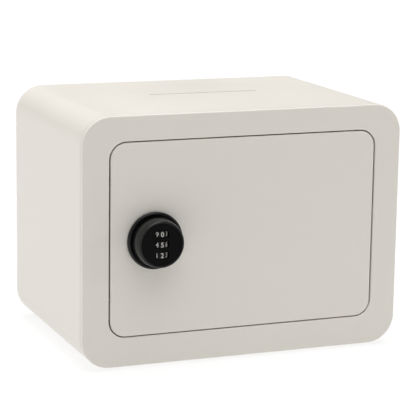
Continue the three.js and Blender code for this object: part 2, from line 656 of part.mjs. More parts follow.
// Bar that carries both bolts. One slot clears the spindle, the other follows the cam's pin.
function boltBar() {
  const shape = new THREE.Shape();
  const points = [[BAR.left, -BAR.halfHeight], [BAR.armRight, -BAR.halfHeight],
    [BAR.armRight, -BAR.halfPlate], [BAR.right, -BAR.halfPlate], [BAR.right, BAR.halfPlate],
    [BAR.armRight, BAR.halfPlate], [BAR.armRight, BAR.halfHeight], [BAR.left, BAR.halfHeight]];
  shape.setFromPoints(points.map(([x, z]) => new THREE.Vector2(x, z)));
  const from = BAR.from - 1;
  const to = BAR.to + 1;
  const spindleSlot = plate(stadium(0, 0, THROW, 0, SPINDLE_END_R + 0.6), from, to);
  const pinPath = stadium(CAM_REST, CAM_REST - 0.2, CAM_REST, CAM_R + 0.2, CAM.pinR + 0.6);
  const pinSlot = plate(pinPath, from, to);
  const rivetHoles = [-1, 1].map((side) =>
    rodY(RIVET.radius + FIT, RIVET.x, from, to, side * BOLT_SPREAD));
  return cut(plate(shape, BAR.from, BAR.to), spindleSlot, pinSlot, ...rivetHoles);
}

// Round bolt whose inner end is milled flat to sit behind the bar. Its tip is at x = 0.
function lockingBolt() {
  const length = 36;
  const full = 19.6;
  const rod = turnedX([[0, 0], [BOLT_R - 1, 0], [BOLT_R, 1], [BOLT_R, length], [0, length]]);
  const flat = box(full, length + 1, -2 * BOLT_R, BAR.to + FIT - BOLT_DEPTH, -2 * BOLT_R, 2 * BOLT_R);
  const rivetX = KNOB_X + RIVET.x - PAN_LEFT;
  return cut(rod, flat, rodY(RIVET.radius + FIT, rivetX, -2 * BOLT_R, 2 * BOLT_R, 0));
}

const rivet = () => turned([[0, BAR.from - 1.6], [2.6, BAR.from - 1.6], [3.4, BAR.from - FIT],
  [RIVET.radius, BAR.from - FIT], [RIVET.radius, 22], [0, 22]]);

function buildLock() {
  const lock = new THREE.Group();
  lock.position.set(KNOB_X, FRONT_Y, LOCK_Z);
  lock.add(part('knob_body', knobBody(), BLACK_PLASTIC));
  lock.add(part('knob_face', knobFace(), BLACK_PLASTIC));
  lock.add(part('wheel_axle', rodZ(AXLE_R, 0, -AXLE_HEIGHT, -20.6, 20.6), BRIGHT_STEEL));
  lock.add(part('wheel_detent_spring', detentSpring(), SPRING_STEEL));
  for (const [word, z] of Object.entries(wheelLevels)) {
    lock.add(part(`number_wheel_${word}`, numberWheel(), WHEEL_PLASTIC, 0, WHEEL_R - KNOB_PROUD, z));
  }
  lock.add(part('spindle', spindle(), BRIGHT_STEEL));
  lock.add(part('drive_cam', driveCam(), ZINC));
  lock.add(part('spindle_washer', washer(), ZINC));
  lock.add(part('spindle_nut', nut(), ZINC));
  lock.add(part('bolt_bar', boltBar(), ZINC));
  for (const [word, side] of [['upper', 1], ['lower', -1]]) {
    const z = side * BOLT_SPREAD;
    const tipX = PAN_LEFT - KNOB_X;
    lock.add(part(`locking_bolt_${word}`, lockingBolt(), BRIGHT_STEEL, tipX, BOLT_DEPTH, z));
    lock.add(part(`bolt_rivet_${word}`, rivet(), ZINC, RIVET.x, 0, z));
  }
  return lock;
}

const group = new THREE.Group();
group.add(buildCabinet(), buildDoor(), buildLock());

export default group;
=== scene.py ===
"""Looks of a small insulated home safe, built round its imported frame.

Metres, +Z up. X runs to the right and Y into the safe, so the front faces -Y. Depths are measured
back from the front of the frame, and heights on the knob forward from it.
"""
import math
from collections import namedtuple

import bmesh
import bpy
from mathutils import Matrix, Vector


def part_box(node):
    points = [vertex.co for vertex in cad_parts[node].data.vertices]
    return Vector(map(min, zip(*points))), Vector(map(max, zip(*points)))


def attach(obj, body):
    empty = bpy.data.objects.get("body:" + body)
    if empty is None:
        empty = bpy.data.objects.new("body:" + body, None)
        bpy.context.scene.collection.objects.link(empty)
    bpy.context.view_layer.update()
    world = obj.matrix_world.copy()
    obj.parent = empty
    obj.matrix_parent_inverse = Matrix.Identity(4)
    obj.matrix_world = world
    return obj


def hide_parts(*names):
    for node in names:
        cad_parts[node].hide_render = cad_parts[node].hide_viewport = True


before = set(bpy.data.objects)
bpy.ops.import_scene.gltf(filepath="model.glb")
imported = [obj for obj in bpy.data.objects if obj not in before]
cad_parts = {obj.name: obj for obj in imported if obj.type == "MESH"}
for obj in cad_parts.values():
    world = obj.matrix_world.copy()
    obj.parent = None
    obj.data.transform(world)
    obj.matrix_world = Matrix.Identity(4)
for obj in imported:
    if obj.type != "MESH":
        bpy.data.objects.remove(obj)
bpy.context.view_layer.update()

MM = 0.001

# ---- Places and sizes, from the frame -----------------------------------------------------

Panel = namedtuple("Panel", "x0 z0 x1 z1 radius")


def panel(node, radius, grow=0.0):
    """A node's outline seen from the front, a rectangle with round corners."""
    low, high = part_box(node)
    return Panel(low.x - grow, low.z - grow, high.x + grow, high.z + grow, radius + grow)


def middle(node):
    low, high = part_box(node)
    return (low + high) / 2


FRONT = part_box("front_frame")[0].y
SHEET = 2 * MM
LINER_SHEET = 1.2 * MM
PAN_SHEET = 1.5 * MM
DOOR_GAP = 1.5 * MM
REAR_ROUND = 10 * MM
SEAM_FROM = 5 * MM  # where the front frame's rolled edge meets the wrapped sheet
SEAM_WIDTH = 0.9 * MM

ANCHOR_HOLE_R = 5 * MM
COVER_HOLE_R = 1.9 * MM  # for the inner cover's screws
ROSE_HOLE_R = 2.3 * MM  # for the screws that hold the rose
SPINDLE_HOLE_R = 4.6 * MM
RIVET_HOLE_R = 2.3 * MM
JAMB_BOLT_HOLE_R = 8 * MM
BUSH_HOLE_R = 8.9 * MM
PIN_HOLE_R = 3.3 * MM
KNUCKLE_HOLE_R = 4.9 * MM

HEIGHTS = ("upper", "lower")
SIDES = ("left", "right")
FOOT_SPOTS = ("front_left", "front_right", "rear_left", "rear_right")
COVER_SPOTS = ("upper_left", "upper_right", "lower_left", "lower_right")

BODY = panel("front_frame", 30 * MM)
DOOR = panel("door_face_plate", 16.5 * MM)
DOORWAY = panel("door_face_plate", 16.5 * MM, grow=DOOR_GAP)
PAN = panel("door_pan", 10.5 * MM)
COVER = panel("door_inner_cover", 8.5 * MM)
SEAL = panel("door_seal", 16.6 * MM)
REAR = panel("back_panel", 19.7 * MM)

KNOB = middle("knob_rose")
KNOB_FOOT = Vector((KNOB.x, FRONT, KNOB.z))
HINGE = middle("hinge_pin_upper")
CORNER_STEPS = 18


def depth(node):
    """How far behind the front plane a node starts and ends."""
    low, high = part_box(node)
    return low.y - FRONT, high.y - FRONT


# ---- Mesh building ------------------------------------------------------------------------


def rounded(corners, closed=False, steps=5):
    """A path in two measures. Each corner is (a, b, fillet radius)."""
    path = []
    last = len(corners) - 1
    for i, (a, b, radius) in enumerate(corners):
        at = Vector((a, b))
        if radius == 0 or (not closed and i in (0, last)):
            path.append(at)
            continue
        before = (Vector(corners[i - 1][:2]) - at).normalized()
        after = (Vector(corners[0 if i == last else i + 1][:2]) - at).normalized()
        half = before.angle(after) / 2
        centre = at + (before + after).normalized() * radius / math.sin(half)
        reach = radius / math.tan(half)
        start = at + before * reach - centre
        end = at + after * reach - centre
        swing = math.pi - 2 * half
        for step in range(steps + 1):
            share = step / steps
            arm = start * math.sin((1 - share) * swing) + end * math.sin(share * swing)
            path.append(centre + arm / math.sin(swing))
    return path


def panel_ring(outline, inset, y):
    """Points round a panel, moved in by inset, at one depth."""
    x0, z0 = outline.x0 + inset, outline.z0 + inset
    x1, z1 = outline.x1 - inset, outline.z1 - inset
    r = max(outline.radius - inset, 0.3 * MM)
    centres = [(x1 - r, z1 - r), (x0 + r, z1 - r), (x0 + r, z0 + r), (x1 - r, z0 + r)]
    points = []
    for corner, (cx, cz) in enumerate(centres):
        for step in range(CORNER_STEPS + 1):
            angle = math.pi / 2 * (corner + step / CORNER_STEPS)
            points.append(Vector((cx + r * math.cos(angle), y, cz + r * math.sin(angle))))
    return points


def panel_rings(outline, path):
    """Rings for a path of (inset, depth behind the front)."""
    return [panel_ring(outline, inset, FRONT + back) for inset, back in path]


AXES = {
    "x": (Vector((1, 0, 0)), Vector((0, 1, 0)), Vector((0, 0, 1))),
    "y": (Vector((0, 1, 0)), Vector((0, 0, 1)), Vector((1, 0, 0))),
    "front": (Vector((0, -1, 0)), Vector((1, 0, 0)), Vector((0, 0, 1))),
    "z": (Vector((0, 0, 1)), Vector((1, 0, 0)), Vector((0, 1, 0))),
    "down": (Vector((0, 0, -1)), Vector((0, 1, 0)), Vector((1, 0, 0))),
}


def turned_rings(path, centre, axis, sides, cut_in=None):
    """Rings for a path of (radius, distance along the axis), less cut_in(angle, radius)."""
    along, first, second = AXES[axis]
    rings = []
    for radius, travel in path:
        ring = []
        for i in range(sides):
            angle = 2 * math.pi * i / sides
            r = radius - (cut_in(angle, radius) if cut_in else 0.0)
            out = first * math.cos(angle) + second * math.sin(angle)
            ring.append(centre + along * travel + out * r)
        rings.append(ring)
    return rings


def loft(rings, closed=False):
    """A body through rings of equal count. An open one gets flat ends; a closed one is a hoop."""
    bm = bmesh.new()
    rows = [[bm.verts.new(point) for point in ring] for ring in rings]
    count = len(rows[0])
    following = rows[1:] + rows[:1] if closed else rows[1:]
    for low, high in zip(rows, following):
        for i in range(count):
            j = (i + 1) % count
            bm.faces.new((low[i], low[j], high[j], high[i]))
    if not closed:
        bm.faces.new(rows[0])
        bm.faces.new(rows[-1])
    bmesh.ops.recalc_face_normals(bm, faces=bm.faces)
    return bm


def to_object(name, bm):
    mesh = bpy.data.meshes.new(name)
    bm.to_mesh(mesh)
    bm.free()
    made = bpy.data.objects.new(name, mesh)
    bpy.context.scene.collection.objects.link(made)
    return made


def turned(name, path, centre, axis, sides, closed=False):
    """An object turned from a path of (radius, distance along the axis)."""
    return to_object(name, loft(turned_rings(path, centre, axis, sides), closed))


def pressed(name, outline, path, closed=False):
    """An object swept round a panel from a path of (inset, depth behind the front)."""
    return to_object(name, loft(panel_rings(outline, path), closed))


def hole(radius, start, axis, length, sides=48):
    """A plain round body for cutting."""
    return turned("hole", [(radius, 0), (radius, length)], Vector(start), axis, sides)


def block(*spans):
    """A box for cutting, from its start and end along X, Y and Z."""
    bm = bmesh.new()
    bmesh.ops.create_cube(bm, size=1.0)
    size = Matrix.Diagonal([end - start for start, end in spans] + [1])
    place = Matrix.Translation([(start + end) / 2 for start, end in spans])
    bmesh.ops.transform(bm, matrix=place @ size, verts=bm.verts)
    return to_object("block", bm)


def carve(target, *cutters):
    """Takes the cutters' bodies out of a piece."""
    for cutter in cutters:
        modifier = target.modifiers.new("carve", "BOOLEAN")
        modifier.operation = "DIFFERENCE"
        modifier.solver = "EXACT"
        modifier.object = cutter
    graph = bpy.context.evaluated_depsgraph_get()
    result = bpy.data.meshes.new_from_object(target.evaluated_get(graph))
    target.modifiers.clear()
    target.data = result
    for cutter in cutters:
        bpy.data.objects.remove(cutter)


def soften(target, test, width):
    """Rounds over the sharp edges of a piece for which test(middle of the edge) holds."""
    bm = bmesh.new()
    bm.from_mesh(target.data)
    chosen = [
        edge for edge in bm.edges
        if len(edge.link_faces) == 2
        and edge.calc_face_angle() > math.radians(40)
        and test((edge.verts[0].co + edge.verts[1].co) / 2)
    ]
    bmesh.ops.bevel(bm, geom=chosen, offset=width, segments=3, profile=0.5,
                    affect="EDGES", clamp_overlap=True)
    bm.to_mesh(target.data)
    bm.free()


def piece(target, finish, body, node=None, sharp=35):
    """Gives a finished mesh its material, smooth shading and place in the frame."""
    target.data.materials.clear()
    target.data.materials.append(finish)
    target.data.shade_smooth()
    target.data.set_sharp_from_angle(angle=math.radians(sharp))
    weighted = target.modifiers.new("even_shading", "WEIGHTED_NORMAL")
    weighted.keep_sharp = True
    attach(target, body)
    if node:
        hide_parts(node)
    return target


# ---- Materials ----------------------------------------------------------------------------


class Finish:
    """A material being built: its shader, and short ways to add texture to it."""

    def __init__(self, name, colour, roughness, metallic=0.0, specular=0.5):
        self.material = bpy.data.materials.new(name)
        self.material.use_nodes = True
        self.tree = self.material.node_tree
        self.shader = self.tree.nodes["Principled BSDF"]
        self.shader.inputs["Base Color"].default_value = (*colour, 1)
        self.shader.inputs["Roughness"].default_value = roughness
        self.shader.inputs["Metallic"].default_value = metallic
        self.shader.inputs["Specular IOR Level"].default_value = specular
        self.place = self.tree.nodes.new("ShaderNodeTexCoord").outputs["Object"]

    def node(self, kind, **values):
        made = self.tree.nodes.new(kind)
        for key, value in values.items():
            made.inputs[key.replace("_", " ")].default_value = value
        return made

    def link(self, source, target):
        self.tree.links.new(source, target)

    def noise(self, scale, detail=2.0, stretch=(1, 1, 1)):
        """Noise with about scale features a metre."""
        mapping = self.node("ShaderNodeMapping", Scale=stretch)
        self.link(self.place, mapping.inputs["Vector"])
        made = self.node("ShaderNodeTexNoise", Scale=scale, Detail=detail)
        self.link(mapping.outputs["Vector"], made.inputs["Vector"])
        return made.outputs["Fac"]

    def cells(self, scale):
        made = self.node("ShaderNodeTexVoronoi", Scale=scale)
        self.link(self.place, made.inputs["Vector"])
        return made.outputs["Distance"]

    def spread(self, source, low, high, start=0.3, end=0.7):
        """Turns a texture's range from start to end into values from low to high."""
        made = self.node("ShaderNodeMapRange", From_Min=start, From_Max=end, To_Min=low, To_Max=high)
        self.link(source, made.inputs["Value"])
        return made.outputs["Result"]

    def blend(self, factor, first, second):
        made = self.tree.nodes.new("ShaderNodeMix")
        made.data_type = "RGBA"
        self.link(factor, made.inputs["Factor"])
        for socket, value in ((made.inputs[6], first), (made.inputs[7], second)):
            if isinstance(value, tuple):
                socket.default_value = (*value, 1)
            else:
                self.link(value, socket)
        return made.outputs[2]

    def colour(self, socket):
        self.link(socket, self.shader.inputs["Base Color"])

    def roughness(self, socket):
        self.link(socket, self.shader.inputs["Roughness"])

    def bump(self, *layers):
        """Each layer is (texture, height in metres)."""
        normal = None
        for height, distance in layers:
            made = self.node("ShaderNodeBump", Strength=1.0, Distance=distance)
            self.link(height, made.inputs["Height"])
            if normal:
                self.link(normal, made.inputs["Normal"])
            normal = made.outputs["Normal"]
        self.link(normal, self.shader.inputs["Normal"])


def scaled(colour, factor):
    return tuple(channel * factor for channel in colour)


def powder_coat(name, colour, roughness):
    """Baked powder paint: faint orange peel, a few specks and slow changes of tone and gloss."""
    paint = Finish(name, colour, roughness)
    peel = paint.noise(520, detail=2.0)
    grain = paint.noise(2400, detail=3.0)
    cloud = paint.noise(7, detail=3.0)
    speck = paint.noise(900, detail=1.0)
    toned = paint.blend(paint.spread(cloud, 0, 1), scaled(colour, 0.975), colour)
    specks = paint.spread(speck, 0, 0.5, start=0.78, end=0.84)
    paint.colour(paint.blend(specks, toned, scaled(colour, 0.72)))
    paint.roughness(paint.spread(cloud, roughness - 0.04, roughness + 0.06))
    paint.bump((peel, 0.05 * MM), (grain, 0.012 * MM))
    return paint.material


def moulded_plastic(name, colour, roughness, specular):
    """Black moulding with a fine spark-eroded grain and slightly handled patches."""
    plastic = Finish(name, colour, roughness, specular=specular)
    grain = plastic.noise(3200, detail=3.0)
    handled = plastic.noise(60, detail=4.0)
    plastic.colour(plastic.blend(plastic.spread(handled, 0, 1), colour, scaled(colour, 1.5)))
    plastic.roughness(plastic.spread(handled, roughness - 0.05, roughness + 0.09))
    plastic.bump((grain, 0.01 * MM))
    return plastic.material


def zinc_plate(name, colour, roughness):
    """Rolled steel with zinc plating: soft mottling and rolling lines."""
    zinc = Finish(name, colour, roughness, metallic=1.0)
    mottle = zinc.noise(140, detail=5.0)
    rolling = zinc.noise(300, detail=2.0, stretch=(0.04, 1, 1))
    zinc.colour(zinc.blend(zinc.spread(mottle, 0, 1), scaled(colour, 0.86), colour))
    zinc.roughness(zinc.spread(mottle, roughness - 0.06, roughness + 0.12))
    zinc.bump((rolling, 0.008 * MM), (mottle, 0.01 * MM))
    return zinc.material


def turned_steel(name, colour, roughness):
    """Bright turned steel with fine tool marks across its length."""
    steel = Finish(name, colour, roughness, metallic=1.0)
    marks = steel.noise(420, detail=3.0, stretch=(12, 1, 1))
    smear = steel.noise(90, detail=4.0)
    steel.colour(steel.blend(steel.spread(smear, 0, 1), scaled(colour, 0.9), colour))
    steel.roughness(steel.spread(marks, roughness - 0.05, roughness + 0.1))
    steel.bump((marks, 0.004 * MM))
    return steel.material


def soft_rubber(name, colour, roughness):
    """Matt moulding with a dusty bloom and a fine grain, for rubber, seal and nylon."""
    rubber = Finish(name, colour, roughness)
    bloom = rubber.noise(180, detail=5.0)
    grain = rubber.noise(2600, detail=2.0)
    rubber.colour(rubber.blend(rubber.spread(bloom, 0, 1), colour, scaled(colour, 1.9)))
    rubber.roughness(rubber.spread(bloom, roughness - 0.08, roughness + 0.08))
    rubber.bump((grain, 0.03 * MM))
    return rubber.material


def fibre_board(name, colour):
    """Pressed gypsum and fibre, with pits and short fibres."""
    board = Finish(name, colour, 0.95)
    fibres = board.noise(700, detail=4.0, stretch=(1, 0.25, 1))
    pits = board.cells(420)
    board.colour(board.blend(board.spread(fibres, 0, 1), scaled(colour, 0.84), colour))
    board.bump((pits, 0.15 * MM), (fibres, 0.08 * MM))
    return board.material


def needle_felt(name, colour):
    """Matted fibres: dark flecks, lighter lint and a soft sheen."""
    felt = Finish(name, colour, 1.0)
    felt.shader.inputs["Sheen Weight"].default_value = 0.35
    felt.shader.inputs["Sheen Roughness"].default_value = 0.6
    mat = felt.noise(1500, detail=5.0)
    clumps = felt.noise(160, detail=3.0)
    lint = felt.noise(2400, detail=2.0, stretch=(1, 0.2, 1))
    toned = felt.blend(felt.spread(clumps, 0, 1), scaled(colour, 0.7), scaled(colour, 1.25))
    linty = felt.spread(lint, 0, 0.6, start=0.62, end=0.75)
    felt.colour(felt.blend(linty, toned, scaled(colour, 3.2)))
    felt.bump((mat, 0.35 * MM), (lint, 0.2 * MM))
    return felt.material


def printed_white(name):
    """White ink of the wheels' digits, worn thin in places."""
    worn, full = (0.36, 0.35, 0.33), (0.62, 0.6, 0.56)
    ink = Finish(name, full, 0.5)
    wear = ink.noise(1800, detail=3.0)
    ink.colour(ink.blend(ink.spread(wear, 0, 1, start=0.35, end=0.6), worn, full))
    return ink.material


paint = powder_coat("white_powder_coat", (0.80, 0.765, 0.70), 0.42)
liner_paint = powder_coat("liner_powder_coat", (0.62, 0.60, 0.56), 0.5)
knob_plastic = moulded_plastic("knob_plastic", (0.005, 0.0055, 0.0055), 0.2, specular=0.25)
face_plastic = moulded_plastic("face_plastic", (0.0025, 0.0025, 0.0025), 0.42, specular=0.06)
wheel_plastic = moulded_plastic("wheel_plastic", (0.004, 0.004, 0.0045), 0.45, specular=0.15)
zinc = zinc_plate("zinc_plate", (0.66, 0.67, 0.68), 0.34)
steel = turned_steel("turned_steel", (0.74, 0.74, 0.75), 0.2)
rubber = soft_rubber("rubber", (0.02, 0.02, 0.021), 0.75)
seal_rubber = soft_rubber("seal_rubber", (0.075, 0.075, 0.078), 0.85)
nylon = soft_rubber("nylon", (0.34, 0.33, 0.29), 0.5)
board = fibre_board("fibre_board", (0.62, 0.58, 0.5))
felt = needle_felt("needle_felt", (0.05, 0.055, 0.065))
ink = printed_white("digit_ink")

# ---- Cabinet ------------------------------------------------------------------------------


def drop_slot_cutter(z0, z1, narrow=0.0):
    """The deposit passage between two heights, the chute's bore less narrow at front and rear."""
    low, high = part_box("deposit_chute")
    wall = 2 * MM
    inset = wall + narrow
    return block((low.x + wall, high.x - wall), (low.y + inset, high.y - inset), (z0, z1))


def make_shell():
    """Wrapped sheet round the sides, top and base, with the deposit slot and the anchor holes."""
    start = SEAM_FROM + SEAM_WIDTH
    end = depth("outer_shell")[1]
    path = rounded([
        (SHEET, start, 0.1 * MM), (0, start, 0.12 * MM), (0, end, REAR_ROUND - 0.3 * MM),
        (REAR_ROUND, end, 0.2 * MM), (REAR_ROUND, end - SHEET, 0.2 * MM),
        (SHEET, end - SHEET, REAR_ROUND - SHEET - 0.3 * MM)], closed=True, steps=8)
    shell = pressed("shell", BODY, path, closed=True)
    cutters = [drop_slot_cutter(BODY.z1 - 3 * SHEET, BODY.z1 + SHEET, narrow=0.8 * MM)]
    for word in SIDES:
        plug = middle(f"anchor_plug_base_{word}")
        cutters.append(hole(ANCHOR_HOLE_R, (plug.x, plug.y, 0), "z", 12 * MM))
    carve(shell, *cutters)
    low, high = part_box("deposit_chute")

    def on_slot_rim(point):
        inside = low.x < point.x < high.x and low.y < point.y < high.y
        return inside and abs(point.z - BODY.z1) < 0.1 * MM

    def on_base(point):
        return abs(point.z - BODY.z0) < 0.1 * MM

    soften(shell, on_slot_rim, 0.5 * MM)
    soften(shell, on_base, 0.4 * MM)
    piece(shell, paint, "cabinet", "outer_shell")


def make_frame():
    """Front frame with its rolled outer edge, and the jamb folded back from the doorway."""
    jamb_end = depth("front_frame")[1]
    plate = 3 * MM
    outer = rounded([(SHEET, plate, 0), (SHEET, SEAM_FROM, 0.1 * MM), (0, SEAM_FROM, 0.12 * MM),
                     (0, 0, 1.6 * MM), (5 * MM, 0, 0)], steps=8)
    inner = rounded([(-4 * MM, 0, 0), (0, 0, 1.2 * MM), (0, jamb_end, 0.3 * MM),
                     (-SHEET, jamb_end, 0.3 * MM), (-SHEET, plate, 0)], steps=6)
    rings = panel_rings(BODY, outer) + panel_rings(DOORWAY, inner)
    frame_piece = to_object("frame", loft(rings, closed=True))
    cutters = []
    bolts = [middle(f"locking_bolt_{word}") for word in HEIGHTS]
    for bolt in bolts:
        start = (DOORWAY.x0 - 4 * MM, bolt.y, bolt.z)
        cutters.append(hole(JAMB_BOLT_HOLE_R, start, "x", 6 * MM))
    pin = (HINGE.x, HINGE.y, DOORWAY.z0 - 5 * MM)
    cutters.append(hole(PIN_HOLE_R, pin, "z", DOORWAY.z1 - DOORWAY.z0 + 10 * MM))
    carve(frame_piece, *cutters)

    def on_bolt_hole(point):
        near = any(abs(point.z - bolt.z) < JAMB_BOLT_HOLE_R + MM for bolt in bolts)
        return near and abs(point.x - DOORWAY.x0) < 0.1 * MM and point.y > FRONT + 5 * MM

    soften(frame_piece, on_bolt_hole, 0.4 * MM)
    piece(frame_piece, paint, "cabinet", "front_frame")


def make_rear_panel():
    """Plate let into the back, with a shallow pressed field and two anchor holes."""
    start, end = depth("back_panel")
    field = end - 0.7 * MM
    path = rounded([(0, start, 0), (0, end, 0.6 * MM), (10 * MM, end, 1.0 * MM),
                    (12 * MM, field, 1.0 * MM), (40 * MM, field, 0)])
    rear = pressed("rear_panel", REAR, path)
    cutters = []
    for word in SIDES:
        plug = middle(f"anchor_plug_back_{word}")
        behind = (plug.x, FRONT + start - 2 * MM, plug.z)
        cutters.append(hole(ANCHOR_HOLE_R, behind, "y", 8 * MM))
    carve(rear, *cutters)
    piece(rear, paint, "cabinet", "back_panel")


def make_liner():
    """Compartment: a drawn steel tub behind the doorway, open to the front."""
    start, end = depth("inner_liner")
    inside_end = end - LINER_SHEET
    path = rounded([
        (40 * MM, end, 0), (-LINER_SHEET, end, 4 * MM), (-LINER_SHEET, start, 0.3 * MM),
        (0, start, 0.3 * MM), (0, inside_end, 3 * MM), (40 * MM, inside_end, 0)])
    liner = pressed("liner", DOORWAY, path)
    cutters = [drop_slot_cutter(DOORWAY.z1 - 3 * MM, DOORWAY.z1 + 3 * MM)]
    for word in SIDES:
        plug = middle(f"anchor_plug_base_{word}")
        below = (plug.x, plug.y, DOORWAY.z0 - 4 * MM)
        cutters.append(hole(ANCHOR_HOLE_R, below, "z", 8 * MM))
        plug = middle(f"anchor_plug_back_{word}")
        ahead = (plug.x, FRONT + end - 4 * MM, plug.z)
        cutters.append(hole(ANCHOR_HOLE_R, ahead, "y", 8 * MM))
    carve(liner, *cutters)
    piece(liner, liner_paint, "cabinet", "inner_liner")


def make_chute():
    """Folded sleeve between the slot in the top and the compartment, with round upright edges."""
    low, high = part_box("deposit_chute")
    edge = 1.2 * MM
    outline = rounded([(low.x, low.y, edge), (high.x, low.y, edge),
                       (high.x, high.y, edge), (low.x, high.y, edge)], closed=True)
    rings = [[Vector((x, y, z)) for x, y in outline] for z in (low.z, high.z)]
    sleeve = to_object("chute", loft(rings))
    carve(sleeve, drop_slot_cutter(low.z - MM, high.z + MM))
    piece(sleeve, zinc, "cabinet", "deposit_chute")


def make_baffle():
    """Bent sheet under the slot that keeps fingers and hooks out."""
    low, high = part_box("deposit_baffle")
    sheet = LINER_SHEET
    flange, drop, lip = 12 * MM, 27.7 * MM, 14 * MM
    face = low.y + flange
    bend = high.z - drop
    fold = 1.6 * MM
    edge = 0.3 * MM
    offset = 0.4 * sheet
    outline = rounded([
        (low.y, high.z, edge), (low.y, high.z - sheet, edge), (face - sheet, high.z - sheet, fold),
        (face - sheet, bend - offset, fold + sheet), (high.y - offset, bend - offset - lip, edge),
        (high.y, bend - lip + offset, edge), (face, bend, fold), (face, high.z, fold + sheet)],
        closed=True)
    rings = [[Vector((x, y, z)) for y, z in outline] for x in (low.x, high.x)]
    piece(to_object("baffle", loft(rings)), liner_paint, "cabinet", "deposit_baffle")


def make_mat():
    """Felt mat, slightly soft at its cut edges."""
    low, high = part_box("floor_mat")
    across, along = 96, 66
    ripple = 0.12 * MM
    droop = {0: 0.9 * MM, 1: 0.25 * MM}  # by rows from the edge
    bm = bmesh.new()
    top, bottom = {}, {}
    for i in range(across + 1):
        for j in range(along + 1):
            x = low.x + (high.x - low.x) * i / across
            y = low.y + (high.y - low.y) * j / along
            rows_in = min(i, j, across - i, along - j)
            lift = ripple * math.sin(37.0 * i + 11.0 * j) * math.cos(23.0 * j)
            height = high.z - 0.15 * MM - droop.get(rows_in, 0.0) + lift
            top[i, j] = bm.verts.new((x, y, height))
            bottom[i, j] = bm.verts.new((x, y, low.z))
    for i in range(across):
        for j in range(along):
            corners = ((i, j), (i + 1, j), (i + 1, j + 1), (i, j + 1))
            bm.faces.new([top[c] for c in corners])
            bm.faces.new([bottom[c] for c in reversed(corners)])
    rim = [(i, 0) for i in range(across)] + [(across, j) for j in range(along)]
    rim += [(i, along) for i in range(across, 0, -1)] + [(0, j) for j in range(along, 0, -1)]
    for here, there in zip(rim, rim[1:] + rim[:1]):
        bm.faces.new((bottom[here], bottom[there], top[there], top[here]))
    bmesh.ops.recalc_face_normals(bm, faces=bm.faces)
    mat = piece(to_object("mat", bm), felt, "cabinet", "floor_mat", sharp=70)


def make_feet():
    """Moulded rubber feet with a dished underside."""
    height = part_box("foot_front_left")[1].z
    path = rounded([
        (3 * MM, 0.8 * MM, 0), (6 * MM, 0.8 * MM, 0.6 * MM), (6.6 * MM, 0, 0.2 * MM),
        (9 * MM, 0, 0.5 * MM), (10 * MM, 1.2 * MM, 0.8 * MM), (10 * MM, height, 0.3 * MM),
        (8 * MM, height, 0)])
    for spot in FOOT_SPOTS:
        node = f"foot_{spot}"
        at = middle(node)
        foot = turned(f"{spot}_foot", path, Vector((at.x, at.y, 0)), "z", 40)
        piece(foot, rubber, "cabinet", node)


def make_plugs():
    """Rubber plugs that close the anchor holes, slightly domed outside."""
    path = rounded([
        (1 * MM, 0.2 * MM, 0), (2.4 * MM, 0.35 * MM, 0.5 * MM), (4.7 * MM, 0.5 * MM, 0.3 * MM),
        (4.7 * MM, 2.3 * MM, 0), (8 * MM, 2.3 * MM, 0.4 * MM), (8 * MM, 4 * MM, 0.6 * MM),
        (2 * MM, 4 * MM, 0)])
    back = FRONT + depth("back_panel")[1]
    for place, axis in (("base", "z"), ("back", "front")):
        for word in SIDES:
            node = f"anchor_plug_{place}_{word}"
            start = middle(node)
            if place == "base":
                start.z = BODY.z0
            else:
                start.y = back
            plug = turned(f"{place}_plug_{word}", path, start, axis, 40)
            piece(plug, rubber, "cabinet", node)


def reach(node, centre):
    """How far above or below a point a node's ends are, the nearer one first."""
    low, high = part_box(node)
    return sorted((abs(low.z - centre.z), abs(high.z - centre.z)))


def make_hinges():
    """Pins fixed in the jamb, and the flanged knuckles in the door that turn on them."""
    pin_r, head_r, head = 3 * MM, 4.5 * MM, 2 * MM
    bore_r, sleeve_r, flange_r = 3.35 * MM, 4.6 * MM, 5.4 * MM
    centre = Vector((HINGE.x, HINGE.y, (DOOR.z0 + DOOR.z1) / 2))
    for word, axis in (("upper", "z"), ("lower", "down")):
        near, far = reach(f"hinge_pin_{word}", centre)
        path = rounded([
            (1 * MM, near, 0), (pin_r, near, 0.8 * MM), (pin_r, far - head, 0.2 * MM),
            (head_r, far - head, 0.3 * MM), (head_r, far, 0.6 * MM), (1 * MM, far, 0)])
        pin = turned(f"{word}_pin", path, centre, axis, 40)
        piece(pin, steel, "cabinet", f"hinge_pin_{word}")

        near, far = reach(f"hinge_knuckle_{word}", centre)
        flange = (PAN.z1 - PAN.z0) / 2 + 0.3 * MM
        path = rounded([
            (bore_r, near, 0.2 * MM), (sleeve_r, near, 0.4 * MM), (sleeve_r, flange, 0.1 * MM),
            (flange_r, flange, 0.3 * MM), (flange_r, far, 0.6 * MM), (bore_r, far, 0.3 * MM)],
            closed=True)
        knuckle = turned(f"{word}_knuckle", path, centre, axis, 40, closed=True)
        piece(knuckle, zinc, "door", f"hinge_knuckle_{word}")


# ---- Door ---------------------------------------------------------------------------------


